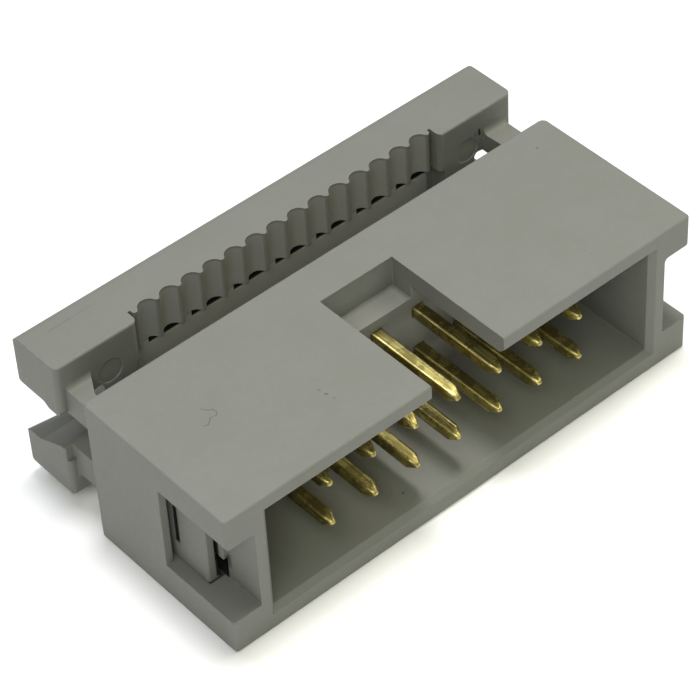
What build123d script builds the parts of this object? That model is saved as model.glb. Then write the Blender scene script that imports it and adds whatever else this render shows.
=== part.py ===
from build123d import *
import os
from math import atan2, cos, radians, sin

# Boxed plug for flat ribbon cable, fourteen contacts in two rows of seven, before crimping.
# It lies on one broad wall. Sizes are in millimetres and angles in radians.
# While it is modelled, X runs along the rows from their middle, Y runs back from the mating
# face and Z runs up from the table. At the end every piece is moved by half the overall depth,
# so that the origin is the bottom centre of the whole plug.

# Contact field
columns = 7
column_pitch = 2.54
row_pitch = 2.54
fork_row_pitch = 3.76
pin_axis_height = 4.42

# Contact
pin_side = 0.64
pin_setback = 0.64
pin_tip_side = 0.22
pin_tip_length = 0.55
shoulder_width = 1.10
shoulder_offset = 0.70
bend_length = 0.90
fork_thickness = 0.32
fork_width = 1.60
fork_reach = 1.70
fork_slot_width = 0.22
fork_slot_depth = 1.45
fork_mouth_width = 0.62
fork_mouth_depth = 0.50
fork_point_width = 0.20

# Housing
housing_length = 28.10
housing_height = 8.45
housing_depth = 9.85
cavity_length = 23.20
cavity_depth = 6.25
cavity_floor = 1.20
cavity_roof = 1.02
end_wall = 0.84
mouth_bevel = 0.30
edge_round = 0.12
front_corner_round = 0.20
back_corner_round = 0.35
channel_depth = 4.70
channel_floor = 2.00
channel_roof = 1.76
flange_round = 0.25
key_width = 4.36
key_depth = 7.52
key_floor_drop = 1.75
passage_neck = 1.40
passage_clearance = 0.03
catch_setback = 2.15
catch_length = 0.95
catch_width = 0.28
catch_base_height = 3.45
relief_setback = 2.25
relief_length = 1.00
relief_depth = 0.65

# Cover
cover_end_inset = 0.15
cover_height = 8.12
cover_depth = 3.30
cover_base = 0.75
cover_gap = 2.08
cover_back_round = 0.62
cover_front_round = 0.15
cover_front_corner_round = 0.32
cover_left_corner_round = 0.20
cover_right_corner_round = 0.45
cover_end_round = 0.15

# Cable bed in the cover's front face
wire_pitch = 1.27
bed_depth = 0.90
ridge_recess = 0.47
ridge_round = 0.15
bed_margin = 0.31
bed_lip_round = 0.30
band_half_height = 2.08
band_margin = 0.30
pocket_height = 0.40
pocket_depth = 1.05
pocket_outer_reach = 0.95
pocket_inner_reach = 1.15

# Ends of the cover
notch_height_inner = 3.90
notch_height_end = 3.10
notch_middle = 4.52
notch_length = 2.49
notch_corner_round = 0.25
notch_back_round = 0.40
upper_lip_length = 0.95
upper_lip_ramp = 0.75
upper_lip_flare = 0.50
lower_lip_length = 0.45
lower_lip_ramp = 1.55
lower_lip_flare = 0.70
lip_round = 0.45
mark_radius = 0.66
mark_depth = 0.05
mark_inset = 2.95
mark_height = 6.90

# Latch legs of the cover
leg_outer_inset = 0.70
leg_thickness = 0.56
leg_lead_in = 0.10
leg_setback = 2.55
leg_clearance = 0.06
leg_slot_clearance = 0.30
slit_setback = 4.46
slit_width = 0.28
slit_base_height = 3.17
root_slot_clearance = 0.06
root_outer_inset = 0.62
root_thickness = 1.40
root_length = 3.50
root_upper_top = 7.35
root_lower_bottom = 2.00
root_fillet = 0.35
plate_overlap = 0.60
window_length = 3.00
window_top = 5.85
window_bottom = 3.75
barb_height = 1.20
barb_width = 0.25
barb_length = 1.90
barb_ramp = 0.45
root_step = 0.30
root_edge_bevel = 0.40
arm_bevel_width = 0.42
arm_bevel_height = 0.58
right_root_taper = 0.06
left_root_taper = 0.60
root_taper_length = 1.05

# Modelling allowances: how far a cut runs past a face, and how far a joined form runs into another
beyond = 1.0
sunk = 0.1

# Values worked out from the sizes above
wires = 2 * columns
cover_front = housing_depth + cover_gap
cover_back = cover_front + cover_depth
cover_top = cover_base + cover_height
overall_depth = cover_back
cover_length = housing_length - 2 * cover_end_inset
wire_offset = wire_pitch / 2
bed_back = cover_front + bed_depth
ridge_line = cover_front + ridge_recess
cavity_ceiling = housing_height - cavity_roof
channel_ceiling = housing_height - channel_roof
end_wall_outer = cavity_length / 2 + end_wall
band_top = pin_axis_height + band_half_height
band_bottom = pin_axis_height - band_half_height
leg_outer = housing_length / 2 - leg_outer_inset
leg_inner = leg_outer - leg_thickness
root_outer = housing_length / 2 - root_outer_inset
root_inner = root_outer - root_thickness
root_front = cover_front - root_length
leg_bottom = channel_floor + leg_clearance
leg_top = channel_ceiling - leg_clearance
passage_start = cavity_depth + passage_neck


def rect(a_low, a_high, b_low, b_high):
    """Rectangle sketch between two corners."""
    centre = Pos((a_low + a_high) / 2, (b_low + b_high) / 2)
    return centre * Rectangle(a_high - a_low, b_high - b_low)


def polygon(*points):
    """Closed face through the given corners."""
    return make_face(Polyline(*points, close=True))


def from_front(profile, y_start, y_end):
    """Front-view profile in X and Z, carried back from y_start to y_end."""
    return extrude(Plane.XZ.offset(-y_start) * profile, -(y_end - y_start))


def from_side(profile, x_start, x_end):
    """Side-view profile in Y and Z, carried along X."""
    return extrude(Plane.YZ.offset(x_start) * profile, x_end - x_start)


def from_above(profile, z_start, z_end):
    """Plan-view profile in X and Y, carried up along Z."""
    return extrude(Plane.XY.offset(z_start) * profile, z_end - z_start)


def both_ends(solid):
    """A feature of the right-hand end with its mirror image at the left."""
    return solid + mirror(solid, Plane.YZ)


def column_x(column):
    """Middle of a contact column."""
    return (column - (columns - 1) / 2) * column_pitch


def row_z(row):
    """Height of a pin row: row is 1 for the upper one and -1 for the lower one."""
    return pin_axis_height + row * row_pitch / 2


def fork_z(row):
    """Height of a row of forks."""
    return pin_axis_height + row * fork_row_pitch / 2


def sites():
    """Column, row and running number of every contact."""
    numbered = [(column, row) for column in range(columns) for row in (-1, 1)]
    return [(column, row, number + 1) for number, (column, row) in enumerate(numbered)]


# Contacts

def fork_plan():
    """Plan view of an upper contact about its pin: pin, shoulder and slotted fork on a wire."""
    half = pin_side / 2
    tip_half = pin_tip_side / 2
    taper_end = pin_setback + pin_tip_length
    shoulder = passage_start
    tips = housing_depth + fork_reach
    fork_left = wire_offset - fork_width / 2
    fork_right = wire_offset + fork_width / 2
    body_left = wire_offset - shoulder_offset - shoulder_width / 2
    outline = polygon(
        (-tip_half, pin_setback),
        (tip_half, pin_setback),
        (half, taper_end),
        (half, shoulder),
        (fork_right, shoulder + bend_length / 2),
        (fork_right, tips - fork_mouth_depth),
        (wire_offset + fork_mouth_width / 2 + fork_point_width, tips),
        (wire_offset + fork_mouth_width / 2, tips),
        (wire_offset, tips - fork_mouth_depth),
        (wire_offset - fork_mouth_width / 2, tips),
        (wire_offset - fork_mouth_width / 2 - fork_point_width, tips),
        (fork_left, tips - fork_mouth_depth),
        (fork_left, shoulder + bend_length),
        (body_left, shoulder + bend_length),
        (body_left, shoulder),
        (-half, shoulder),
        (-half, taper_end),
    )
    slot_half = fork_slot_width / 2
    slot_end = tips - fork_slot_depth
    straight = rect(wire_offset - slot_half, wire_offset + slot_half, slot_end, tips)
    rounded = Pos(wire_offset, slot_end) * Circle(slot_half)
    return outline - straight - rounded


def bent_strip():
    """Side view of an upper contact about its pin: square pin, bend and coined thin fork."""
    half = pin_side / 2
    tip_half = pin_tip_side / 2
    taper_end = pin_setback + pin_tip_length
    rise = fork_z(1) - row_z(1)
    bend_start = passage_start
    bend_end = bend_start + bend_length
    tips = housing_depth + fork_reach
    fork_low = rise - fork_thickness / 2
    fork_high = rise + fork_thickness / 2
    return polygon(
        (pin_setback, -tip_half),
        (taper_end, -half),
        (bend_start + fork_thickness, -half),
        (bend_end, fork_low),
        (tips, fork_low),
        (tips, fork_high),
        (bend_end - fork_thickness, fork_high),
        (bend_start, half),
        (taper_end, half),
        (pin_setback, tip_half),
    )


def upper_contact():
    """One contact of the upper row, with its pin on the line x = 0, z = 0."""
    plan = from_above(fork_plan(), -fork_row_pitch, fork_row_pitch)
    side = from_side(bent_strip(), -column_pitch, column_pitch)
    return plan & side


def contact(column, row):
    """A contact in its place: the lower row is the upper one turned half round."""
    turn = 0 if row > 0 else 180
    return Pos(column_x(column), 0, row_z(row)) * Rot(0, turn, 0) * upper_contact()


def passage(column, row):
    """Way through the back of the housing for one contact, open at the back."""
    half = pin_side / 2 + passage_clearance
    neck = from_front(rect(-half, half, -half, half), cavity_depth - beyond, passage_start + sunk)
    rise = fork_z(1) - row_z(1)
    left = wire_offset - shoulder_offset - shoulder_width / 2 - passage_clearance
    right = wire_offset + fork_width / 2 + passage_clearance
    top = rise + fork_thickness / 2 + passage_clearance
    chamber = from_front(rect(left, right, -half, top), passage_start, housing_depth + beyond)
    turn = 0 if row > 0 else 180
    return Pos(column_x(column), 0, row_z(row)) * Rot(0, turn, 0) * (neck + chamber)


# Housing

def mating_cavity():
    """Hollow round the pins, with a bevelled mouth."""
    half = cavity_length / 2
    inner = rect(-half, half, cavity_floor, cavity_ceiling)
    hollow = from_front(inner, 0, cavity_depth)
    wide = half + mouth_bevel
    mouth = rect(-wide, wide, cavity_floor - mouth_bevel, cavity_ceiling + mouth_bevel)
    bevel = loft([Plane.XZ * mouth, Plane.XZ.offset(-mouth_bevel) * inner])
    return hollow + bevel


def key_notch():
    """Polarising notch through the roof and into the block behind the cavity."""
    half = key_width / 2
    opening = rect(-half, half, -beyond, key_depth)
    floor = housing_height - key_floor_drop
    return from_above(opening, floor, housing_height + beyond)


def end_channel():
    """Channel between the end flanges of the right-hand end, with the upper flange rounded inside and out."""
    half = housing_length / 2
    profile = rect(end_wall_outer, half + beyond, channel_floor, channel_ceiling)
    inner_corner = profile.vertices().sort_by(Axis.X)[:2].sort_by(Axis.Y)[-1]
    profile = fillet(inner_corner, flange_round)
    rim = rect(half - flange_round, half + beyond, channel_ceiling - sunk, channel_ceiling + flange_round)
    rim -= Pos(half - flange_round, channel_ceiling + flange_round) * Circle(flange_round)
    return from_front(profile + rim, -beyond, channel_depth)


def root_slot_profile():
    """Side view of the slot for a leg's root, with a bevelled mouth that takes the root's fillets."""
    front = root_front - cover_gap
    low = root_lower_bottom - root_slot_clearance
    high = root_upper_top + root_slot_clearance
    bevel = root_fillet + root_slot_clearance
    return polygon(
        (front, low),
        (housing_depth - bevel, low),
        (housing_depth, low - bevel),
        (housing_depth + beyond, low - bevel),
        (housing_depth + beyond, high + bevel),
        (housing_depth, high + bevel),
        (housing_depth - bevel, high),
        (front, high),
    )


def latch_slot():
    """Slot through the right-hand end block: narrow for the leg, wider for its root behind."""
    narrow = rect(channel_depth - sunk, housing_depth, channel_floor, channel_ceiling)
    slot = from_side(narrow, leg_inner - root_slot_clearance, leg_outer + leg_slot_clearance)
    wide = from_side(root_slot_profile(), root_inner - root_slot_clearance, root_outer + root_slot_clearance)
    return slot + wide


def catch_rib():
    """Upright catch on the outside of the right-hand end wall, hung from the roof flange."""
    run = rect(catch_setback, catch_setback + catch_length, catch_base_height, channel_ceiling)
    return from_side(run, end_wall_outer, end_wall_outer + catch_width)


def catch_relief():
    """Recess in the outside of the right-hand end wall, below the catch."""
    recess = rect(relief_setback, relief_setback + relief_length, channel_floor, catch_base_height)
    return from_side(recess, end_wall_outer - relief_depth, end_wall_outer + sunk)


def housing():
    """Boxed housing with its cavity, key notch, end channels, latch slots and passages."""
    half = housing_length / 2
    body = from_front(rect(-half, half, 0, housing_height), 0, housing_depth)
    uprights = body.edges().filter_by(Axis.Z).sort_by(Axis.Y)
    body = fillet(uprights[:2], front_corner_round)
    uprights = body.edges().filter_by(Axis.Z).sort_by(Axis.Y)
    body = fillet(uprights[-2:], back_corner_round)
    level = body.faces().filter_by(Axis.Z)
    body = fillet(level.edges(), edge_round)
    body -= mating_cavity()
    body -= key_notch()
    body -= both_ends(end_channel())
    body -= both_ends(latch_slot())
    body += both_ends(catch_rib())
    body -= both_ends(catch_relief())
    for column, row, _ in sites():
        body -= passage(column, row)
    return body


# Cover

def wave_arc(middle, level, radius, turn):
    """Arc that turns by the same angle to each side of its middle; a negative radius curves back."""
    side = abs(radius) * sin(turn)
    drop = radius * (1 - cos(turn))
    return ThreePointArc((middle - side, level - drop), (middle, level), (middle + side, level - drop))


def wave_edge():
    """Scalloped back edge of the cable bed: one hollow for each wire, between rounded ridges.

    Every arc meets the next in a common tangent, so hollows and ridges turn by the same angle.
    """
    half_pitch = wire_pitch / 2
    turn = 2 * atan2(bed_depth - ridge_recess, half_pitch)
    hollow_round = half_pitch / sin(turn) - ridge_round
    start = -wires * half_pitch
    edges = [wave_arc(start, ridge_line, -ridge_round, turn)]
    for wire in range(wires):
        middle = start + (wire + 0.5) * wire_pitch
        edges.append(wave_arc(middle, bed_back, hollow_round, turn))
        edges.append(wave_arc(middle + half_pitch, ridge_line, -ridge_round, turn))
    return edges


def fluted_bed():
    """Plan view of the bed where the cable lies in its flutes."""
    wave = wave_edge()
    wave_end = wave[-1] @ 1
    wall = wires * wire_pitch / 2 + bed_margin
    lip = wall + bed_lip_round
    lip_start = cover_front + bed_lip_round
    lip_mid = bed_lip_round * (1 - cos(radians(45)))
    groove = bed_back - ridge_round
    front = cover_front - beyond
    right = [
        Line((wave_end.X, wave_end.Y), (wall - ridge_round, groove)),
        Line((wall - ridge_round, groove), (wall, groove)),
        Line((wall, groove), (wall, lip_start)),
        ThreePointArc((wall, lip_start), (wall + lip_mid, cover_front + lip_mid), (lip, cover_front)),
        Line((lip, cover_front), (lip, front)),
    ]
    left = [mirror(edge, Plane.YZ) for edge in right]
    return make_face(wave + right + left + [Line((-lip, front), (lip, front))])


def cable_bed():
    """Whole hollow for the cable: flutes above and below, and a plain band between them."""
    flutes = fluted_bed()
    upper = from_above(flutes, band_top, cover_top + beyond)
    lower = from_above(flutes, cover_base - beyond, band_bottom)
    half = wires * wire_pitch / 2 + bed_margin + band_margin
    band = from_above(rect(-half, half, cover_front - beyond, bed_back), band_bottom, band_top)
    return upper + lower + band


def fork_pocket(column, row):
    """Pocket in the band that the tips of one fork enter when the cover closes."""
    wire = column_x(column) + row * wire_offset
    outer = wire + row * pocket_outer_reach
    inner = wire - row * pocket_inner_reach
    low = fork_z(row) - pocket_height / 2
    mouth = rect(min(inner, outer), max(inner, outer), low, low + pocket_height)
    return from_front(mouth, bed_back - sunk, bed_back + pocket_depth)


def notch_profile():
    """Front view of the right-hand end notch, which narrows a little towards the end."""
    end = cover_length / 2
    inner = end - notch_length
    slope = (notch_height_inner - notch_height_end) / (2 * notch_length)
    outer = end + beyond
    inner_half = notch_height_inner / 2
    outer_half = notch_height_end / 2 - slope * beyond
    corners = polygon(
        (inner, notch_middle - inner_half),
        (outer, notch_middle - outer_half),
        (outer, notch_middle + outer_half),
        (inner, notch_middle + inner_half),
    )
    inner_corners = corners.vertices().sort_by(Axis.X)[:2]
    return fillet(inner_corners, notch_corner_round)


def leg_root():
    """Side view of the leg's thick root: two arms that flow into the cover's front face."""
    back = cover_front + lower_lip_length
    rise = 2 * root_fillet
    profile = polygon(
        (root_front, root_lower_bottom + root_step),
        (root_front + root_step, root_lower_bottom),
        (cover_front, root_lower_bottom),
        (cover_front, root_lower_bottom - rise),
        (back, root_lower_bottom - rise),
        (back, root_upper_top + rise),
        (cover_front, root_upper_top + rise),
        (cover_front, root_upper_top),
        (root_front + root_step, root_upper_top),
        (root_front, root_upper_top - root_step),
    )
    corners = profile.vertices().filter_by_position(Axis.X, cover_front - sunk, cover_front + sunk)
    inner_corners = corners.filter_by_position(Axis.Y, root_lower_bottom - sunk, root_upper_top + sunk)
    return fillet(inner_corners, root_fillet)


def leg_window():
    """Side view of the opening between the root's arms and the notch's lips, which flares at the back."""
    front = cover_front - window_length
    lower_throat = cover_front + lower_lip_length
    lower_back = lower_throat + lower_lip_ramp
    upper_throat = cover_front + upper_lip_length
    upper_back = upper_throat + upper_lip_ramp
    back = lower_back + beyond
    window = polygon(
        (front, window_bottom),
        (lower_throat, window_bottom),
        (lower_back, window_bottom - lower_lip_flare),
        (back, window_bottom - lower_lip_flare),
        (back, window_top + upper_lip_flare),
        (upper_back, window_top + upper_lip_flare),
        (upper_throat, window_top),
        (front, window_top),
    )
    window = fillet(window.vertices().filter_by_position(Axis.X, front - sunk, front + sunk), root_step)
    return fillet(window.vertices().filter_by_position(Axis.X, cover_front, back - sunk), lip_round)


def arm_bevels():
    """Bevels along the inner edges of both arms, where they look into the right-hand notch."""
    inner = root_inner - sunk
    outer = root_inner + arm_bevel_width
    high = window_top - sunk
    low = window_bottom + sunk
    upper = polygon((inner, high), (outer, high), (inner, window_top + arm_bevel_height))
    lower = polygon((inner, low), (inner, window_bottom - arm_bevel_height), (outer, low))
    return from_front(upper + lower, root_front - beyond, cover_back + beyond)


def root_plan(taper):
    """Plan view that narrows the root from its inner face, from the cover towards the housing."""
    narrow = root_inner + taper
    narrow_start = cover_front - root_taper_length
    return polygon(
        (narrow, root_front - beyond),
        (root_outer + beyond, root_front - beyond),
        (root_outer + beyond, cover_back),
        (root_inner, cover_back),
        (root_inner, cover_front),
        (narrow, narrow_start),
    )


def notch_lips():
    """Lips that narrow the right-hand notch at its front, above and below the leg's window."""
    low = notch_middle - notch_height_inner / 2
    high = notch_middle + notch_height_inner / 2
    back = cover_front + lower_lip_length + lower_lip_ramp
    profile = rect(cover_front + cover_front_round, back, low, high)
    return from_side(profile - leg_window(), root_inner, cover_length / 2) - arm_bevels()


def barb_plan():
    """Plan view of the barb on the inner face of the leg, which keeps the cover from coming off."""
    tip = leg_inner - barb_width
    front = leg_setback
    return polygon(
        (leg_inner + sunk, front),
        (leg_inner, front),
        (tip, front + barb_ramp),
        (tip, front + barb_length),
        (leg_inner + sunk, front + barb_length),
    )


def latch_leg(taper):
    """Right-hand leg: plate in the channel, barb, and root with its window, narrowed by the taper."""
    profile = rect(leg_setback, root_front + plate_overlap, leg_bottom, leg_top)
    slit = rect(slit_setback, slit_setback + slit_width, slit_base_height, leg_top + beyond)
    plate = from_side(profile - slit, leg_inner, leg_outer)
    plate = chamfer(plate.edges().filter_by(Axis.Z).sort_by(Axis.Y)[:2], leg_lead_in)
    root = from_side(leg_root() - leg_window(), root_inner, root_outer)
    foot = root.faces().filter_by(Axis.X).sort_by(Axis.X)[-1].edges().filter_by(Axis.Y).sort_by(Axis.Z)[0]
    root = chamfer(foot, root_edge_bevel) - arm_bevels()
    root = root & from_above(root_plan(taper), 0, cover_top)
    barb = from_above(barb_plan(), leg_bottom, leg_bottom + barb_height)
    return plate + root + barb


def ejector_mark():
    """Shallow round mark beside the right-hand notch."""
    centre = Pos(cover_length / 2 - mark_inset, mark_height)
    return from_front(centre * Circle(mark_radius), cover_front - sunk, cover_front + mark_depth)


def cover_plan():
    """Plan view of the cover's bar, with its back right corner rounded most."""
    half = cover_length / 2
    plan = rect(-half, half, cover_front, cover_back)
    plan = fillet(plan.vertices().sort_by(Axis.Y)[:2], cover_front_corner_round)
    plan = fillet(plan.vertices().sort_by(Axis.Y)[-2:].sort_by(Axis.X)[0], cover_left_corner_round)
    return fillet(plan.vertices().sort_by(Axis.Y)[-2:].sort_by(Axis.X)[-1], cover_right_corner_round)


def cover_face():
    """Front view of the cover's bar, with its four corners a little rounded."""
    half = cover_length / 2
    face = rect(-half, half, cover_base, cover_top)
    return fillet(face.vertices(), cover_end_round)


def cover_block():
    """Bar of the cover with its end notches, and its long edges rounded most at the back."""
    half = cover_length / 2
    bar = from_side(rect(cover_front, cover_back, cover_base, cover_top), -half, half)
    long_edges = bar.edges().filter_by(Axis.X).sort_by(Axis.Y)
    bar = fillet(long_edges[2:], cover_back_round)
    front_edges = bar.edges().filter_by(Axis.X).sort_by(Axis.Y)[:2]
    bar = fillet(front_edges, cover_front_round)
    bar -= both_ends(from_front(notch_profile(), cover_front - beyond, cover_back + beyond))
    rim = bar.faces().filter_by(Axis.Y).sort_by(Axis.Y)[-1].edges()
    notch_rim = [e for e in rim if abs(e.center().Z - notch_middle) < notch_height_inner / 2 + sunk]
    bar = fillet(notch_rim, notch_back_round)
    return bar + both_ends(notch_lips())


def cover():
    """Cover with its cable bed, fork pockets, end notches and latch legs."""
    bar = cover_block() & from_above(cover_plan(), cover_base - beyond, cover_top + beyond)
    bar = bar & from_front(cover_face(), cover_front - beyond, cover_back + beyond)
    bar -= cable_bed()
    bar -= both_ends(ejector_mark())
    for column, row, _ in sites():
        bar -= fork_pocket(column, row)
    return bar + latch_leg(right_root_taper) + mirror(latch_leg(left_root_taper), Plane.YZ)


# Writing

def write(name, solid):
    """Write one piece in the plug's own frame, with the origin at its bottom centre."""
    placed = Pos(0, -overall_depth / 2, 0) * solid
    placed.label = name
    export_step(placed, os.path.join("parts", name + ".step"))


os.makedirs("parts", exist_ok=True)
write("housing", housing())
write("cover", cover())
for column, row, number in sites():
    write(f"contact_{number:02d}", contact(column, row))
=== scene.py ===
import logging
import math
from dataclasses import dataclass, field, replace
from enum import Enum

import bmesh
import bpy
import numpy as np
from mathutils import Matrix, Vector


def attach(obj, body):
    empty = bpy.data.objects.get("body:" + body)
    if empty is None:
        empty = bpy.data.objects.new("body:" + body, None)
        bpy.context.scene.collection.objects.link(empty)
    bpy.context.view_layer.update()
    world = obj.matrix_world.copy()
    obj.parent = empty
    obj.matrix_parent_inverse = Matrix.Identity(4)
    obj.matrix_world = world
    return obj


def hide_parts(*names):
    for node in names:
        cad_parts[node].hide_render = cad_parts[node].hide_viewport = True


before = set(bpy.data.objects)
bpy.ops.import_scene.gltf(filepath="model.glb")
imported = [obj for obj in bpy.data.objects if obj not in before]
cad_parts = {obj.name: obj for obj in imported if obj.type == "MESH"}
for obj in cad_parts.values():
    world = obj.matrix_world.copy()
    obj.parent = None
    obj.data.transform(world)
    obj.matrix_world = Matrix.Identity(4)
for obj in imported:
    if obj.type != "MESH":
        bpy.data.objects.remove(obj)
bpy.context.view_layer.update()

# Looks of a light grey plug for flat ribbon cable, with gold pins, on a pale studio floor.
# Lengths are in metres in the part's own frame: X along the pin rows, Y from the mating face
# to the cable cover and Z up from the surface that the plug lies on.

MM = 0.001
LOG = logging.getLogger("plug")
BEVEL_SAMPLES = 8
WELD_DISTANCE = 1e-7

# A Mix node has sockets for every data type; these are the places of the colour ones.
MIX_FACTOR, MIX_FIRST, MIX_SECOND, MIX_RESULT = 0, 6, 7, 2


class Body(Enum):
    """The rigid bodies that pieces ride on."""

    BASE = "base"
    COVER = "cover"


class Slot(Enum):
    """The record's material slots."""

    PLASTIC = "grey_plastic"
    GOLD = "gold_plate"


class SocketKind(Enum):
    """Kinds of sockets on a shader group."""

    NUMBER = "NodeSocketFloat"
    VECTOR = "NodeSocketVector"


Colour = tuple[float, float, float]
Point = tuple[float, float, float]
Socket = bpy.types.NodeSocket


def rgba(colour: Colour) -> tuple[float, float, float, float]:
    """Give a colour its alpha."""
    return (*colour, 1.0)


class ShaderGroup:
    """A shader node group with named sockets, built once and placed in each material.

    Its first input is Vector, where the pattern is read, and its one output is a number.
    """

    def __init__(self, name: str, output: str, **inputs: float | None) -> None:
        """Make the empty group and its sockets.

        Args:
            name: The group's name.
            output: Its output's name.
            inputs: Value at rest of each further input, by name; None makes a vector input.
        """
        self.tree = bpy.data.node_groups.new(name, "ShaderNodeTree")
        for label, value in {"Vector": None, **inputs}.items():
            kind = SocketKind.VECTOR if value is None else SocketKind.NUMBER
            socket = self.tree.interface.new_socket(
                label, in_out="INPUT", socket_type=kind.value
            )
            if value is not None:
                socket.default_value = value
        self.tree.interface.new_socket(
            output, in_out="OUTPUT", socket_type=SocketKind.NUMBER.value
        )
        self.sockets = list(self.tree.nodes.new("NodeGroupInput").outputs)[: len(inputs) + 1]
        self.sink = self.tree.nodes.new("NodeGroupOutput")

    def add(self, kind: str, **settings: object) -> bpy.types.Node:
        """Add a node to the group.

        Args:
            kind: The node's type name.
            settings: Attributes to set on it.

        Returns:
            The new node.
        """
        return add_node(self.tree, kind, **settings)

    def link(self, start: Socket, end: Socket) -> None:
        """Join two sockets."""
        self.tree.links.new(start, end)

    def finish(self, result: Socket) -> "ShaderGroup":
        """Feed the group's output.

        Args:
            result: The socket that it gives.

        Returns:
            The group itself.
        """
        self.link(result, self.sink.inputs[0])
        return self

    def maths(self, operation: str, first: object, second: object = None) -> Socket:
        """Add a Math node to the group."""
        return maths(self.tree, operation, first, second)

    def ramp(self, value: Socket, low: float, high: float) -> Socket:
        """Add a smooth mask to the group."""
        return ramp(self.tree, value, low, high)

    def vector_maths(
        self,
        operation: str,
        first: Socket,
        second: Socket | None = None,
        output: str = "Vector",
    ) -> Socket:
        """Add a Vector Math node to the group.

        Args:
            operation: The node's operation.
            first: The first vector.
            second: The second vector, where the operation has one.
            output: Which output is wanted.

        Returns:
            The output's socket.
        """
        node = self.add("ShaderNodeVectorMath", operation=operation)
        self.link(first, node.inputs[0])
        if second is not None:
            self.link(second, node.inputs[1])
        return node.outputs[output]

    def noise(self, vector: Socket, scale: Socket, detail: float) -> Socket:
        """Add a noise texture to the group.

        Args:
            vector: Where the noise is read.
            scale: Its scale.
            detail: Number of octaves.

        Returns:
            The noise's value.
        """
        node = self.add("ShaderNodeTexNoise")
        node.inputs["Detail"].default_value = detail
        self.link(vector, node.inputs["Vector"])
        self.link(scale, node.inputs["Scale"])
        return node.outputs[0]

    def cells(self, vector: Socket, scale: Socket, feature: str) -> bpy.types.Node:
        """Add a cell texture to the group.

        Args:
            vector: Where the cells are read.
            scale: Their scale.
            feature: How the distance is worked out.

        Returns:
            The cell node.
        """
        node = self.add("ShaderNodeTexVoronoi", feature=feature)
        self.link(vector, node.inputs["Vector"])
        self.link(scale, node.inputs["Scale"])
        return node


def add_node(tree: bpy.types.NodeTree, kind: str, **settings: object) -> bpy.types.Node:
    """Add a node to a tree.

    Args:
        tree: The node tree.
        kind: The node's type name.
        settings: Attributes to set on it.

    Returns:
        The new node.
    """
    node = tree.nodes.new(kind)
    for key, value in settings.items():
        setattr(node, key, value)
    return node


def maths(
    tree: bpy.types.NodeTree, operation: str, first: object, second: object = None
) -> Socket:
    """Add a Math node whose inputs are sockets or plain numbers.

    Args:
        tree: The node tree.
        operation: The Math node's operation.
        first: A socket or a number.
        second: A socket or a number, where the operation has one.

    Returns:
        The node's output socket.
    """
    node = add_node(tree, "ShaderNodeMath", operation=operation)
    for index, value in enumerate((first, second)):
        if isinstance(value, Socket):
            tree.links.new(value, node.inputs[index])
        elif value is not None:
            node.inputs[index].default_value = float(value)
    return node.outputs[0]


def blend_colours(
    tree: bpy.types.NodeTree, mask: object, first: object, second: object
) -> Socket:
    """Add a colour Mix node.

    Args:
        tree: The node tree.
        mask: Factor, a socket or a number.
        first: Colour where the mask is 0, a socket or a colour.
        second: Colour where the mask is 1, a socket or a colour.

    Returns:
        The mixed colour's socket.
    """
    node = add_node(tree, "ShaderNodeMix", data_type="RGBA")
    sockets = {MIX_FACTOR: mask, MIX_FIRST: first, MIX_SECOND: second}
    for index, value in sockets.items():
        if isinstance(value, Socket):
            tree.links.new(value, node.inputs[index])
        elif isinstance(value, tuple):
            node.inputs[index].default_value = rgba(value)
        else:
            node.inputs[index].default_value = float(value)
    return node.outputs[MIX_RESULT]


def ramp(tree: bpy.types.NodeTree, value: Socket, low: float, high: float) -> Socket:
    """Turn a value into a mask that rises smoothly from 0 at low to 1 at high.

    Args:
        tree: The node tree.
        value: The socket to read.
        low: Where the mask is 0.
        high: Where the mask is 1.

    Returns:
        The mask's socket.
    """
    node = add_node(tree, "ShaderNodeMapRange", interpolation_type="SMOOTHSTEP")
    node.inputs["From Min"].default_value = low
    node.inputs["From Max"].default_value = high
    tree.links.new(value, node.inputs["Value"])
    return node.outputs["Result"]


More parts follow.
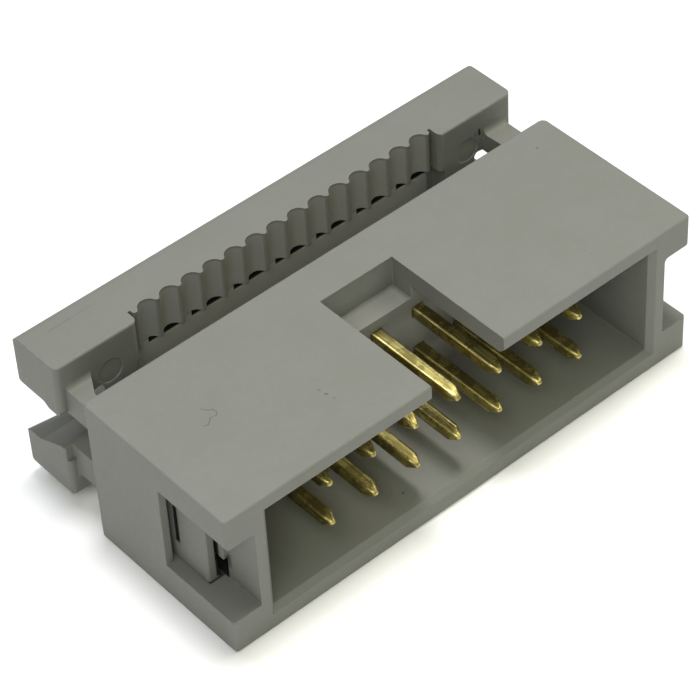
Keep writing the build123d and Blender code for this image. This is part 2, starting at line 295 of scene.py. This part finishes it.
class Effects:
    """The shader groups that the finishes share."""

    def __init__(self) -> None:
        """Build every group once."""
        self.grain = self.build_grain()
        self.mottle = self.build_mottle()
        self.specks = self.build_specks()
        self.edges = self.build_edges()
        self.streaks = self.build_streaks()
        self.scratch = self.build_scratch()
        self.painted_shade_box = self.build_painted_shade_box()

    @staticmethod
    def build_grain() -> ShaderGroup:
        """Build the fine grain of a moulded face: soft noise less the depth of small pits.

        Returns:
            The group that gives the height.
        """
        group = ShaderGroup("fine_grain", "Height", Scale=8000.0, Pits=0.3)
        vector, scale, pits = group.sockets
        soft = group.noise(vector, scale, detail=3.0)
        distance = group.cells(vector, scale, "SMOOTH_F1").outputs["Distance"]
        return group.finish(group.maths("SUBTRACT", soft, group.maths("MULTIPLY", distance, pits)))

    @staticmethod
    def build_mottle() -> ShaderGroup:
        """Build slow drifts of tone: 0.7 of a wide noise and 0.3 of one six times finer.

        Returns:
            The group that gives the mask.
        """
        group = ShaderGroup("slow_mottle", "Mask", Scale=400.0)
        vector, scale = group.sockets
        wide_share, fine_share, finer = 0.7, 0.3, 6.0
        wide = group.noise(vector, scale, detail=4.0)
        fine = group.noise(vector, group.maths("MULTIPLY", scale, finer), detail=2.0)
        both = group.maths(
            "ADD",
            group.maths("MULTIPLY", wide, wide_share),
            group.maths("MULTIPLY", fine, fine_share),
        )
        return group.finish(group.ramp(both, low=0.36, high=0.64))

    @staticmethod
    def build_specks() -> ShaderGroup:
        """Build sparse dust specks: the middles of a chosen share of cells, in varied sizes.

        Returns:
            The group that gives the mask.
        """
        group = ShaderGroup("dust_specks", "Mask", Scale=1500.0, Size=0.12, Share=0.1)
        vector, scale, size, share = group.sockets
        cells = group.cells(vector, scale, "F1")
        parts = group.add("ShaderNodeSeparateColor")
        group.link(cells.outputs["Color"], parts.inputs[0])
        chosen = group.maths("LESS_THAN", parts.outputs[0], share)
        reach = group.maths("MULTIPLY", parts.outputs[1], size)
        inside = group.maths("LESS_THAN", cells.outputs["Distance"], reach)
        return group.finish(group.maths("MULTIPLY", chosen, inside))

    @staticmethod
    def build_edges() -> ShaderGroup:
        """Build the edge mask: where the Rounded normal leaves the true one, broken by noise. The
        plastic takes it as rubbed wear, the gold as a painted highlight.

        Returns:
            The group that gives the mask.
        """
        group = ShaderGroup("edge_wear_and_painted_highlight", "Mask", Rounded=None, Scale=2500.0)
        vector, rounded, scale = group.sockets
        true_normal = group.add("ShaderNodeNewGeometry").outputs["Normal"]
        turned = group.vector_maths("DOT_PRODUCT", rounded, true_normal, output="Value")
        worn = group.ramp(group.maths("SUBTRACT", 1.0, turned), low=0.01, high=0.16)
        broken = group.ramp(group.noise(vector, scale, detail=3.0), low=0.34, high=0.62)
        return group.finish(group.maths("MULTIPLY", worn, broken))

    @staticmethod
    def build_streaks() -> ShaderGroup:
        """Build drawn streaks along Y: noise whose Y is multiplied by Stretch.

        Returns:
            The group that gives the height.
        """
        group = ShaderGroup("drawn_streaks", "Height", Scale=9000.0, Stretch=0.04)
        vector, scale, stretch = group.sockets
        parts = group.add("ShaderNodeSeparateXYZ")
        group.link(vector, parts.inputs[0])
        joined = group.add("ShaderNodeCombineXYZ")
        group.link(parts.outputs["X"], joined.inputs["X"])
        group.link(group.maths("MULTIPLY", parts.outputs["Y"], stretch), joined.inputs["Y"])
        group.link(parts.outputs["Z"], joined.inputs["Z"])
        return group.finish(group.noise(joined.outputs[0], scale, detail=4.0))

    @staticmethod
    def build_scratch() -> ShaderGroup:
        """Build one straight scratch.

        The mask falls off with the distance to the stretch from Start to End: the point's offset
        from Start is laid on the stretch and clamped to its ends, and the rest is the distance.

        Returns:
            The group that gives the mask.
        """
        group = ShaderGroup("straight_scratch", "Mask", Start=None, End=None, Width=6e-5)
        vector, start, end, width = group.sockets
        offset = group.vector_maths("SUBTRACT", vector, start)
        stretch = group.vector_maths("SUBTRACT", end, start)
        along = group.vector_maths("DOT_PRODUCT", offset, stretch, output="Value")
        whole = group.vector_maths("DOT_PRODUCT", stretch, stretch, output="Value")
        part = group.maths("DIVIDE", along, whole)
        clamped = group.maths("MINIMUM", group.maths("MAXIMUM", part, 0.0), 1.0)
        scaled = group.add("ShaderNodeVectorMath", operation="SCALE")
        group.link(stretch, scaled.inputs[0])
        group.link(clamped, scaled.inputs["Scale"])
        rest = group.vector_maths("SUBTRACT", offset, scaled.outputs["Vector"])
        reach = group.maths("DIVIDE", group.vector_maths("LENGTH", rest, output="Value"), width)
        return group.finish(group.maths("SUBTRACT", 1.0, group.ramp(reach, low=0.35, high=1.0)))

    @staticmethod
    def build_painted_shade_box() -> ShaderGroup:
        """Build the box mask of painted light and shade: 1 inside it, and fading out past its faces
        over a soft rim.

        Returns:
            The group that gives the mask.
        """
        group = ShaderGroup("painted_shade_soft_box", "Mask", Centre=None, Half=None, Rim=5e-5)
        vector, centre, half, rim = group.sockets
        offset = group.vector_maths("ABSOLUTE", group.vector_maths("SUBTRACT", vector, centre))
        parts = group.add("ShaderNodeSeparateXYZ")
        group.link(group.vector_maths("SUBTRACT", offset, half), parts.inputs[0])
        farthest = group.maths("MAXIMUM", parts.outputs["X"], parts.outputs["Y"])
        farthest = group.maths("MAXIMUM", farthest, parts.outputs["Z"])
        fade = group.ramp(group.maths("DIVIDE", farthest, rim), low=0.0, high=1.0)
        return group.finish(group.maths("SUBTRACT", 1.0, fade))


@dataclass(frozen=True)
class Scratch:
    """A thin dark scratch, nick or speck between two points, in millimetres of the part's frame."""

    start: Point
    end: Point
    width: float = 0.06
    strength: float = 0.6


@dataclass(frozen=True)
class PaintedShadeBox:
    """A box of painted light and shade on the plastic, in millimetres of the part's frame.

    With no tone of its own it is painted shade, near black, in a narrow gap, a hollow or a contact
    shadow; with a tone of its own it is painted light on a face in shade.
    """

    low: Point
    high: Point
    strength: float = 0.95
    rim: float = 0.05
    tone: Colour | None = None

    def mirrored(self) -> "PaintedShadeBox":
        """Give the same box at the plug's other end."""
        low, high = (-self.high[0], *self.low[1:]), (-self.low[0], *self.high[1:])
        return replace(self, low=low, high=high)


@dataclass
class Surface:
    """A material under way: its tree, its shader and the coordinates that its patterns read."""

    material: bpy.types.Material
    tree: bpy.types.NodeTree
    shader: bpy.types.Node
    place: Socket

    @classmethod
    def start(cls, name: str) -> "Surface":
        """Make a material with a Principled BSDF and Object coordinates.

        Args:
            name: The material's name.

        Returns:
            The surface to build on.
        """
        material = bpy.data.materials.new(name)
        material.use_nodes = True
        tree = material.node_tree
        coordinates = add_node(tree, "ShaderNodeTexCoord")
        return cls(material, tree, tree.nodes["Principled BSDF"], coordinates.outputs["Object"])

    def group(self, group: ShaderGroup, **values: object) -> bpy.types.Node:
        """Place a shared group, with its own values.

        Args:
            group: The shared group.
            values: Numbers or sockets by input name.

        Returns:
            The placed node.
        """
        node = add_node(self.tree, "ShaderNodeGroup", node_tree=group.tree)
        self.tree.links.new(self.place, node.inputs["Vector"])
        for label, value in values.items():
            if isinstance(value, Socket):
                self.tree.links.new(value, node.inputs[label])
            else:
                node.inputs[label].default_value = value
        return node

    def mask(self, group: ShaderGroup, strength: float, **values: object) -> Socket:
        """Place a shared group whose mask is weakened to a strength."""
        whole = self.group(group, **values).outputs["Mask"]
        return maths(self.tree, "MULTIPLY", whole, strength)

    def marked_and_shaded(
        self,
        effects: Effects,
        body: Socket,
        scratches: tuple[Scratch, ...],
        painted_shade_boxes: tuple[PaintedShadeBox, ...],
        tone: Colour,
    ) -> Socket:
        """Lay scratches, and boxes of painted light and shade, over a colour.

        Args:
            effects: The shared shader groups.
            body: The colour to lay them on.
            scratches: The scratches, nicks and specks.
            painted_shade_boxes: The boxes.
            tone: The near-black tone of the scratches, and of the painted shade in boxes with no
                tone of their own.

        Returns:
            The socket of the colour with its scratches and its painted light and shade.
        """
        for scratch in scratches:
            start, end = ([v * MM for v in point] for point in (scratch.start, scratch.end))
            width = scratch.width * MM
            mask = self.mask(effects.scratch, scratch.strength, Start=start, End=end, Width=width)
            body = blend_colours(self.tree, mask, body, tone)
        # Boxes of painted shade, near black, and boxes of painted light in a box's own tone.
        for painted_shade_box in painted_shade_boxes:
            low, high = (np.array(corner) * MM for corner in (painted_shade_box.low, painted_shade_box.high))
            box = {
                "Centre": ((low + high) / 2).tolist(),
                "Half": ((high - low) / 2).tolist(),
                "Rim": painted_shade_box.rim * MM,
            }
            mask = self.mask(effects.painted_shade_box, painted_shade_box.strength, **box)
            body = blend_colours(self.tree, mask, body, painted_shade_box.tone or tone)
        return body

    def rounded_normal(self, radius: float) -> Socket:
        """Add the normal of the surface with its edges softened.

        Args:
            radius: Softening radius in metres.

        Returns:
            The normal's socket.
        """
        node = add_node(self.tree, "ShaderNodeBevel", samples=BEVEL_SAMPLES)
        node.inputs["Radius"].default_value = radius
        return node.outputs["Normal"]

    def bump(self, height: Socket, depth: float, normal: Socket | None = None) -> None:
        """Feed the shader's normal with a bump.

        Args:
            height: Height between 0 and 1.
            depth: Depth of the relief in metres.
            normal: The normal that the bump is laid on, if not the surface's own.
        """
        node = add_node(self.tree, "ShaderNodeBump")
        node.inputs["Distance"].default_value = depth
        self.tree.links.new(height, node.inputs["Height"])
        if normal is not None:
            self.tree.links.new(normal, node.inputs["Normal"])
        self.set("Normal", node.outputs["Normal"])

    def set(self, label: str, value: object) -> None:
        """Set an input of the shader, or link a socket to it.

        Args:
            label: The input's name.
            value: A number, a colour with its alpha, or a socket.
        """
        if isinstance(value, Socket):
            self.tree.links.new(value, self.shader.inputs[label])
        else:
            self.shader.inputs[label].default_value = value

    def roughness(self, height: Socket, low: float, high: float) -> None:
        """Let the roughness follow a value between two limits.

        Args:
            height: The value that it follows, between 0 and 1.
            low: Roughness where the value is 0.
            high: Roughness where the value is 1.
        """
        node = add_node(self.tree, "ShaderNodeMapRange")
        node.inputs["To Min"].default_value = low
        node.inputs["To Max"].default_value = high
        self.tree.links.new(height, node.inputs["Value"])
        self.set("Roughness", node.outputs["Result"])


@dataclass(frozen=True)
class MouldedPlastic:
    """Matt moulded plastic: grain, slow mottle, rubbed edges, a little dust, scratches, and boxes
    of painted light and shade.
    """

    name: str
    tone: Colour = (0.192, 0.195, 0.179)
    warm_tone: Colour = (0.184, 0.187, 0.168)
    rubbed_tone: Colour = (0.36, 0.36, 0.34)
    speck_tone: Colour = (0.07, 0.07, 0.06)
    grain_scale: float = 5000.0
    grain_depth: float = 1.2e-5
    edge_radius: float = 0.07 * MM
    rough_low: float = 0.50
    rough_high: float = 0.70
    gloss: float = 0.30
    mottle_scale: float = 420.0
    edge_wear_and_highlight_share: float = 0.55
    speck_scale: float = 900.0
    speck_size: float = 0.10
    speck_share: float = 0.16
    speck_strength: float = 0.5
    # Near-black tone of the scratches and of the painted shade in gaps and hollows.
    mark_and_shade_tone: Colour = (0.006, 0.006, 0.005)
    scratches: tuple[Scratch, ...] = ()
    # Boxes of painted light and shade.
    painted_shade_boxes: tuple[PaintedShadeBox, ...] = ()

    def make(self, effects: Effects) -> bpy.types.Material:
        """Build the material.

        Args:
            effects: The shared shader groups.

        Returns:
            The finished material.
        """
        surface = Surface.start(self.name)
        tree = surface.tree
        rounded = surface.rounded_normal(self.edge_radius)
        grain = surface.group(effects.grain, Scale=self.grain_scale).outputs["Height"]
        mottle = surface.group(effects.mottle, Scale=self.mottle_scale).outputs["Mask"]
        edges = surface.mask(effects.edges, self.edge_wear_and_highlight_share, Rounded=rounded)
        specks = surface.mask(
            effects.specks,
            self.speck_strength,
            Scale=self.speck_scale,
            Size=self.speck_size,
            Share=self.speck_share,
        )
        body = blend_colours(tree, mottle, self.tone, self.warm_tone)
        rubbed = blend_colours(tree, edges, body, self.rubbed_tone)
        dusty = blend_colours(tree, specks, rubbed, self.speck_tone)
        # Scratches, then boxes of painted shade in gaps and hollows and of painted light on faces
        # in shade.
        marked_and_shaded = surface.marked_and_shaded(effects, dusty, self.scratches, self.painted_shade_boxes, self.mark_and_shade_tone)
        surface.set("Base Color", marked_and_shaded)
        surface.roughness(grain, self.rough_low, self.rough_high)
        surface.set("Specular IOR Level", self.gloss)
        surface.bump(grain, self.grain_depth, rounded)
        return surface.material


@dataclass(frozen=True)
class GoldPlate:
    """Thin gold plate on drawn strip: lengthwise streaks, dull patches and a painted highlight
    along the edges.
    """

    name: str
    tone: Colour = (0.74, 0.64, 0.24)
    dull_tone: Colour = (0.30, 0.25, 0.09)
    # Painted highlight along the edges.
    painted_highlight_tone: Colour = (0.95, 0.88, 0.55)
    streak_scale: float = 9000.0
    streak_depth: float = 2.4e-5
    streak_range: tuple[float, float] = (0.35, 0.70)
    patch_scale: float = 1600.0
    patch_range: tuple[float, float] = (0.35, 0.65)
    patch_strength: float = 0.8
    edge_wear_and_highlight_share: float = 0.5
    edge_radius: float = 0.10 * MM
    rough_low: float = 0.20
    rough_high: float = 0.45

    def make(self, effects: Effects) -> bpy.types.Material:
        """Build the material.

        Args:
            effects: The shared shader groups.

        Returns:
            The finished material.
        """
        surface = Surface.start(self.name)
        tree = surface.tree
        rounded = surface.rounded_normal(self.edge_radius)
        streaks = surface.group(effects.streaks, Scale=self.streak_scale).outputs["Height"]
        mottle = surface.group(effects.mottle, Scale=self.patch_scale).outputs["Mask"]
        mottled = ramp(tree, mottle, *self.patch_range)
        patches = maths(tree, "MULTIPLY", mottled, self.patch_strength)
        edges = surface.mask(effects.edges, self.edge_wear_and_highlight_share, Rounded=rounded)
        body = blend_colours(tree, patches, self.tone, self.dull_tone)
        drawn = ramp(tree, streaks, *self.streak_range)
        streaked = blend_colours(tree, drawn, body, self.dull_tone)
        # Painted highlight: the edges turn to a bright tone.
        surface.set("Base Color", blend_colours(tree, edges, streaked, self.painted_highlight_tone))
        surface.set("Metallic", 1.0)
        surface.roughness(streaks, self.rough_low, self.rough_high)
        surface.bump(streaks, self.streak_depth, rounded)
        return surface.material


@dataclass(frozen=True)
class StudioPaper:
    """White background paper with a faint tooth."""

    name: str
    tone: Colour = (0.93, 0.93, 0.95)
    tooth_scale: float = 1500.0
    tooth_pits: float = 0.1
    tooth_depth: float = 1e-5
    rough: float = 0.9

    def make(self, effects: Effects) -> bpy.types.Material:
        """Build the material.

        Args:
            effects: The shared shader groups.

        Returns:
            The finished material.
        """
        surface = Surface.start(self.name)
        values = {"Scale": self.tooth_scale, "Pits": self.tooth_pits}
        tooth = surface.group(effects.grain, **values).outputs["Height"]
        surface.set("Base Color", rgba(self.tone))
        surface.set("Roughness", self.rough)
        surface.bump(tooth, self.tooth_depth)
        return surface.material


def smooth_copy(node: str, name: str, crease: float) -> bpy.types.Object:
    """Copy a CAD node as one merged mesh that shades smoothly across its curved faces.

    Args:
        node: The CAD node to copy.
        name: The new piece's name.
        crease: Angle in degrees past which an edge stays sharp.

    Returns:
        The new object, which stands for the node.
    """
    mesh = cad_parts[node].data.copy()
    mesh.name = name
    mesh.materials.clear()
    soup = bmesh.new()
    soup.from_mesh(mesh)
    bmesh.ops.remove_doubles(soup, verts=soup.verts, dist=WELD_DISTANCE)
    soup.to_mesh(mesh)
    soup.free()
    for label in [a.name for a in mesh.attributes if a.name.startswith("custom_normal")]:
        mesh.attributes.remove(mesh.attributes[label])
    mesh.shade_smooth()
    mesh.set_sharp_from_angle(angle=math.radians(crease))
    piece = bpy.data.objects.new(name, mesh)
    bpy.context.scene.collection.objects.link(piece)
    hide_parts(node)
    return piece


@dataclass
class MouldedPiece:
    """One of the two plastic mouldings."""

    node: str
    body: Body
    finish: MouldedPlastic
    crease: float = 32.0

    def build(self, effects: Effects) -> list[bpy.types.Object]:
        """Make the piece and dress it.

        Args:
            effects: The shared shader groups.

        Returns:
            The new objects.
        """
        piece = smooth_copy(self.node, self.node + "_moulding", self.crease)
        piece.data.materials.append(self.finish.make(effects))
        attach(piece, self.body.value)
        return [piece]


@dataclass
class ContactField:
    """The fourteen contacts, each its own piece in one finish."""

    finish: GoldPlate
    prefix: str = "contact_"
    crease: float = 25.0
    edge_width: float = 0.09 * MM
    edge_segments: int = 3

    def build(self, effects: Effects) -> list[bpy.types.Object]:
        """Make each contact and dress it.

        Args:
            effects: The shared shader groups.

        Returns:
            The new objects.
        """
        material = self.finish.make(effects)
        pieces = []
        for node in sorted(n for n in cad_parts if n.startswith(self.prefix)):
            piece = smooth_copy(node, node.replace(self.prefix, "gold_contact_"), self.crease)
            rounding = piece.modifiers.new("rounding", "BEVEL")
            rounding.width = self.edge_width
            rounding.segments = self.edge_segments
            rounding.limit_method = "ANGLE"
            rounding.angle_limit = math.radians(self.crease)
            piece.data.materials.append(material)
            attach(piece, Body.BASE.value)
            pieces.append(piece)
        return pieces


@dataclass
class Camera:
    """The photograph's viewpoint, found by fitting the plug's edges, in the part's frame."""

    turn: float = -38.68
    elevation: float = 44.31
    roll: float = -3.54
    distance: float = 134.03 * MM
    target: Point = (-1.555 * MM, -1.278 * MM, 5.797 * MM)
    focal_pixels: float = 2926.8
    frame_pixels: float = 700.0
    sensor: float = 36.0

    def build(self) -> bpy.types.Object:
        """Place the camera.

        Returns:
            The camera object.
        """
        turn, elevation, roll = (math.radians(a) for a in (self.turn, self.elevation, self.roll))
        level = math.cos(elevation)
        forward = Vector(
            (-math.sin(turn) * level, math.cos(turn) * level, -math.sin(elevation))
        )
        right = Vector((math.cos(turn), math.sin(turn), 0.0))
        up = right.cross(forward)
        across = right * math.cos(roll) + up * math.sin(roll)
        above = up * math.cos(roll) - right * math.sin(roll)
        lens = bpy.data.cameras.new("camera")
        lens.sensor_width = self.sensor
        lens.lens = self.focal_pixels / self.frame_pixels * self.sensor
        lens.clip_start = MM
        camera = bpy.data.objects.new("camera", lens)
        turned = Matrix((across, above, -forward)).transposed().to_4x4()
        place = Vector(self.target) - forward * self.distance
        camera.matrix_world = Matrix.Translation(place) @ turned
        bpy.context.scene.collection.objects.link(camera)
        bpy.context.scene.camera = camera
        return camera


@dataclass(frozen=True)
class Panel:
    """A soft light panel that faces the plug."""

    name: str
    place: Point
    width: float
    power: float
    colour: Colour

    def build(self) -> bpy.types.Object:
        """Place the panel.

        Returns:
            The light object.
        """
        lamp = bpy.data.lights.new(self.name, "AREA")
        lamp.shape = "DISK"
        lamp.size = self.width
        lamp.energy = self.power
        lamp.color = self.colour
        light = bpy.data.objects.new(self.name, lamp)
        light.location = self.place
        light.rotation_euler = (-Vector(self.place)).to_track_quat("-Z", "Y").to_euler()
        bpy.context.scene.collection.objects.link(light)
        return light


@dataclass
class Studio:
    """Pale floor, even surroundings and soft panels."""

    floor_width: float = 4.0
    floor_points: int = 3
    surroundings: float = 0.10
    panels: list[Panel] = field(default_factory=lambda: [
        Panel("key_panel", (0.045, 0.035, 0.60), 0.12, 1.78, (1.0, 0.98, 0.94)),
        Panel("back_panel", (0.0, 0.32, 0.50), 0.35, 1.10, (0.84, 0.88, 1.0)),
        Panel("left_panel", (-0.38, 0.0, 0.45), 0.35, 0.36, (1.0, 0.95, 0.98)),
        Panel("right_panel", (0.38, 0.0, 0.45), 0.35, 1.15, (1.0, 0.97, 0.86)),
        Panel("camera_panel", (-0.27, -0.30, 0.42), 0.35, 1.32, (0.97, 1.0, 0.86)),
        Panel("front_panel", (0.32, -0.32, 0.40), 0.35, 0.42, (1.0, 1.0, 0.62)),
    ])

    def build_floor(self, effects: Effects) -> bpy.types.Object:
        """Lay the floor: a flat square grid, each cell from its four neighbouring points.

        Args:
            effects: The shared shader groups.

        Returns:
            The floor object.
        """
        line = np.linspace(-self.floor_width / 2, self.floor_width / 2, self.floor_points)
        x, y = np.meshgrid(line, line)
        points = np.stack([x.ravel(), y.ravel(), np.zeros(x.size)], axis=1)
        index = np.arange(x.size).reshape(x.shape)
        cells = [index[:-1, :-1], index[:-1, 1:], index[1:, 1:], index[1:, :-1]]
        faces = np.stack(cells, axis=-1).reshape(-1, len(cells))
        mesh = bpy.data.meshes.new("studio_floor")
        mesh.from_pydata(points.tolist(), [], faces.tolist())
        floor = bpy.data.objects.new("studio_floor", mesh)
        bpy.context.scene.collection.objects.link(floor)
        mesh.materials.append(StudioPaper("studio_paper").make(effects))
        return floor

    def build(self, effects: Effects) -> None:
        """Make the floor, the surroundings and the panels.

        Args:
            effects: The shared shader groups.
        """
        self.build_floor(effects)
        world = bpy.data.worlds.new("surroundings")
        world.use_nodes = True
        background = world.node_tree.nodes["Background"]
        background.inputs["Color"].default_value = rgba((1.0, 1.0, 1.0))
        background.inputs["Strength"].default_value = self.surroundings
        bpy.context.scene.world = world
        for panel in self.panels:
            panel.build()
        bpy.context.scene.view_settings.view_transform = "Standard"


# Marks on the plastic, and painted light and shade on it, in millimetres of the part's frame.
TOP = 8.45
COVER_TOP = 8.87
CAVITY_FLOOR = 1.2
# Lighter tones painted on the band and flutes of the cover's bed, which lie in shade: painted
# light.
BAND_PAINTED_LIGHT = (0.36, 0.36, 0.35)
FLUTE_PAINTED_LIGHT = (0.29, 0.29, 0.28)
HOOK = ((-10.43, -1.64), (-10.22, -1.92), (-10.04, -2.05), (-10.02, -2.30), (-10.16, -2.42))
TAIL = ((-10.46, -2.37), (-10.63, -2.53), (-10.79, -2.64), (-10.96, -2.56))


def scratch_chain(points: tuple[tuple[float, float], ...]) -> tuple[Scratch, ...]:
    """Join points on the housing's top by faint straight scratches.

    Args:
        points: The corners, in millimetres.

    Returns:
        One scratch for each pair of neighbours.
    """
    pairs = zip(points, points[1:])
    return tuple(
        Scratch((*start, TOP), (*end, TOP), width=0.045, strength=0.30) for start, end in pairs
    )


HOUSING_SCRATCHES = (
    *scratch_chain(HOOK),
    Scratch((*HOOK[-1], TOP), (*TAIL[0], TOP), width=0.05, strength=0.2),
    *scratch_chain(TAIL),
    Scratch((-5.93, -4.30, TOP), (-5.86, -4.40, TOP), width=0.05, strength=0.35),
    Scratch((-5.85, -4.72, TOP), (-5.79, -4.78, TOP), width=0.07, strength=0.5),
    Scratch((-5.75, -5.15, TOP), (-5.70, -5.20, TOP), width=0.05, strength=0.3),
    Scratch((-3.03, -6.34, CAVITY_FLOOR), (-2.97, -6.30, CAVITY_FLOOR), width=0.09, strength=0.5),
)
# Painted shade at each end of the housing: near black in the hollow under the catch, a soft painted
# shadow below the catch, near black in the gap beside the leg, and the leg's contact shadow on the
# channel floor.
HOUSING_END_PAINTED_SHADE = (
    PaintedShadeBox((-12.44, -5.36, 1.98), (-11.70, -4.20, 3.47)),
    PaintedShadeBox((-12.52, -5.50, 2.90), (-12.42, -5.30, 3.50), strength=0.6, rim=0.25),
    PaintedShadeBox((-12.72, -5.12, 3.40), (-12.40, -4.30, 6.80)),
    PaintedShadeBox((-13.30, -5.09, 1.95), (-12.50, -4.60, 2.02), strength=0.8),
)
COVER_SCRATCHES = (
    Scratch((-12.55, 6.52, COVER_TOP), (-11.30, 6.56, COVER_TOP), width=0.05, strength=0.20),
    Scratch((-11.20, 6.56, COVER_TOP), (-10.10, 6.55, COVER_TOP), width=0.05, strength=0.12),
    Scratch((11.76, 4.32, 7.74), (11.78, 4.32, 7.47), width=0.11, strength=0.95),
    Scratch((11.50, 4.32, 7.60), (11.52, 4.32, 7.52), width=0.08, strength=0.4),
)
# Painted shade at each end of the cover, near black: on the leg plate in the gap beside the
# housing's end wall, and in the slit where the leg plate enters the housing.
COVER_END_PAINTED_SHADE = (
    PaintedShadeBox((-12.88, -5.10, 2.20), (-12.70, -4.60, 6.80)),
    PaintedShadeBox((-13.32, -3.20, 3.14), (-12.70, -2.82, 6.66)),
)
# Painted light and shade in the cover's bed: near black in the pockets under the flutes and in the
# lower row of pockets, and lighter tones painted on the band and flutes, which lie in shade.
COVER_BED_PAINTED_LIGHT_AND_SHADE = (
    PaintedShadeBox((-9.00, 5.25, 5.90), (9.00, 6.40, 6.44), strength=0.97, rim=0.03),
    PaintedShadeBox((-9.00, 4.70, 4.60), (9.00, 5.23, 6.35), strength=0.8, rim=0.10, tone=BAND_PAINTED_LIGHT),
    PaintedShadeBox((-8.95, 4.90, 6.50), (8.95, 6.00, 8.70), strength=0.9, rim=0.10, tone=FLUTE_PAINTED_LIGHT),
    PaintedShadeBox((-9.00, 5.25, 2.40), (9.00, 6.40, 2.94), strength=0.97, rim=0.03),
)


def both_ends(painted_shade_boxes: tuple[PaintedShadeBox, ...]) -> tuple[PaintedShadeBox, ...]:
    """Give the boxes of the left end and their mirror images."""
    return painted_shade_boxes + tuple(painted_shade_box.mirrored() for painted_shade_box in painted_shade_boxes)


HOUSING_PLASTIC = MouldedPlastic(
    "housing_plastic",
    scratches=HOUSING_SCRATCHES,
    painted_shade_boxes=both_ends(HOUSING_END_PAINTED_SHADE),
)
COVER_PLASTIC = MouldedPlastic(
    "cover_plastic",
    # The cover's tone is a little darker than the housing's: painted shade, since the lamps light
    # the cover's ends more than the housing's.
    tone=(0.183, 0.186, 0.171),
    warm_tone=(0.176, 0.179, 0.161),
    scratches=COVER_SCRATCHES,
    painted_shade_boxes=COVER_BED_PAINTED_LIGHT_AND_SHADE + both_ends(COVER_END_PAINTED_SHADE),
)


def main() -> None:
    """Build and dress every piece in order, and report each one."""
    logging.basicConfig(level=logging.INFO, format="%(name)s: %(message)s")
    Camera().build()
    effects = Effects()
    parts = [
        MouldedPiece("housing", Body.BASE, HOUSING_PLASTIC),
        MouldedPiece("cover", Body.COVER, COVER_PLASTIC),
        ContactField(GoldPlate("gold_plate")),
    ]
    for part in parts:
        for piece in part.build(effects):
            LOG.info("%s: %d faces", piece.name, len(piece.data.polygons))
    Studio().build(effects)


if __name__ == "__main__":
    main()
